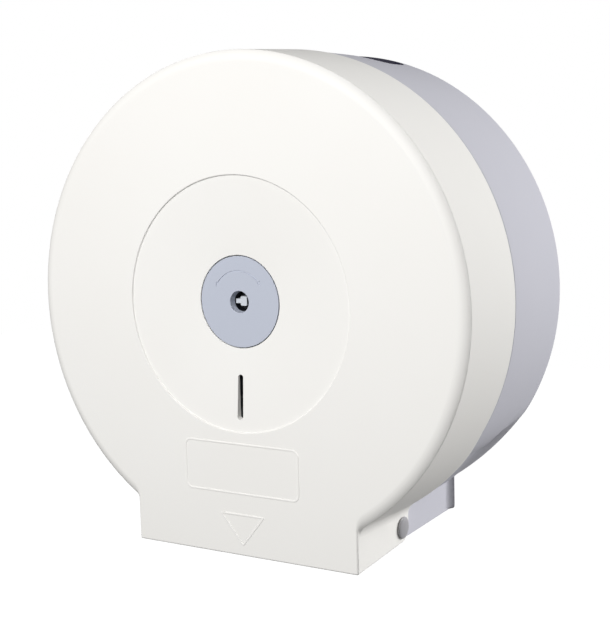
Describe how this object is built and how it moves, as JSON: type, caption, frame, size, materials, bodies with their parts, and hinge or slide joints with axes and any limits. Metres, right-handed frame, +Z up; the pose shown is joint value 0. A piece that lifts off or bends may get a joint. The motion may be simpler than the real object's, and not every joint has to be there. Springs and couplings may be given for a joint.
{
  "type": "toilet roll dispenser",
  "caption": "Wall-hung jumbo toilet roll dispenser: round back housing with a roll spindle and a drum-shaped cover with a key lock that swings down on pins beside the paper throat.",
  "frame": {"origin": "on the wall face, on the axis of the roll spindle and the lock", "axes": "+Z up, the front faces -Y, +X to the right of someone facing the dispenser"},
  "size_m": [0.264, 0.1204, 0.2652],
  "materials": {
    "cover_white": "satin moulded",
    "adapter_white": "moulded",
    "housing_grey": "satin moulded",
    "lock_grey": "satin",
    "dark_plastic": "moulded",
    "steel": "brushed",
    "zinc": "zinc plated"
  },
  "bodies": {
    "base": {"back_housing": "housing_grey", "spindle_post": "housing_grey", "spindle_screw_1": "zinc", "spindle_screw_2": "zinc", "spindle_screw_3": "zinc", "latch_keeper": "dark_plastic", "hinge_pin_left": "zinc", "hinge_pin_right": "zinc", "pin_clip_left": "steel", "pin_clip_right": "steel", "tear_bar_rear": "steel", "rear_bar_rivet_1": "zinc", "rear_bar_rivet_2": "zinc"},
    "hub": {"roll_hub": "dark_plastic", "core_adapter": "adapter_white"},
    "cover": {"front_cover": "cover_white", "lock_escutcheon": "lock_grey", "lock_nut": "dark_plastic", "tear_bar_front": "steel", "front_bar_rivet_1": "zinc", "front_bar_rivet_2": "zinc"},
    "lock": {"lock_core": "lock_grey", "lock_washer": "steel", "core_clip": "steel", "lock_cam": "steel", "cam_screw": "zinc"}
  },
  "joints": [
    {"name": "cover_hinge", "type": "hinge", "parent": "base", "child": "cover", "pos_m": [0, -0.0692, -0.1242], "axis": [1, 0, 0], "range_deg": [0, 150]},
    {"name": "lock_turn", "type": "hinge", "parent": "cover", "child": "lock", "pos_m": [0, -0.108, 0], "axis": [0, 1, 0], "range_deg": [0, 90]},
    {"name": "hub_spin", "type": "hinge", "parent": "base", "child": "hub", "pos_m": [0, -0.05, 0], "axis": [0, 1, 0], "continuous": true}
  ]
}
